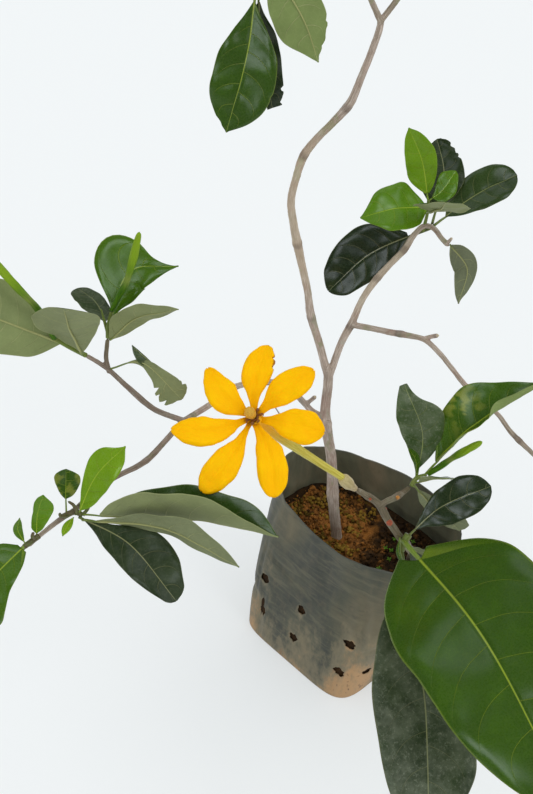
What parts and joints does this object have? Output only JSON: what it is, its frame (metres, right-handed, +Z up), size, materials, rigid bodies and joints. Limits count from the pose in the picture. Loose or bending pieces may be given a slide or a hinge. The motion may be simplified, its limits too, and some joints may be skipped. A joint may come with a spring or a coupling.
{
  "type": "potted gardenia",
  "caption": "Young gardenia shrub with one open golden flower and glossy leaves, standing in a black polythene nursery bag of soil.",
  "frame": {"origin": "centre of the bag's flat base, on the surface it stands on", "axes": "+Z up; -Y towards the viewer of the picture; +X to the viewer's right"},
  "size_m": [0.4, 0.4078, 0.6371],
  "materials": {
    "bag": "satin",
    "soil": "matte",
    "bark": "matte",
    "green_bark": "matte",
    "old_leaf": "gloss",
    "young_leaf": "gloss",
    "leaf_underside": "matte",
    "bud": "satin",
    "calyx": "matte",
    "petal": "satin",
    "stigma": "satin",
    "anther": "matte"
  },
  "bodies": {
    "root": {"grow_bag": "bag", "soil": "soil", "woody_stem": "bark", "front_stem": "green_bark", "top_left_leaves": "old_leaf", "top_right_leaves": "old_leaf", "upper_right_young_leaves": "young_leaf", "upper_right_old_leaves": "old_leaf", "upper_right_hanging_leaf": "leaf_underside", "right_end_leaves": "old_leaf", "left_twig_leaves": "leaf_underside", "left_tip_leaves": "leaf_underside", "left_low_leaf": "leaf_underside", "lower_left_leaves": "old_leaf", "lower_tip_leaves": "old_leaf", "front_right_leaves": "old_leaf", "front_tip_leaves": "old_leaf", "left_twig_bud": "bud", "left_tip_bud": "bud", "front_bud": "bud", "calyx": "calyx", "corolla": "petal", "stigma": "stigma", "anthers": "anther"}
  },
  "joints": []
}
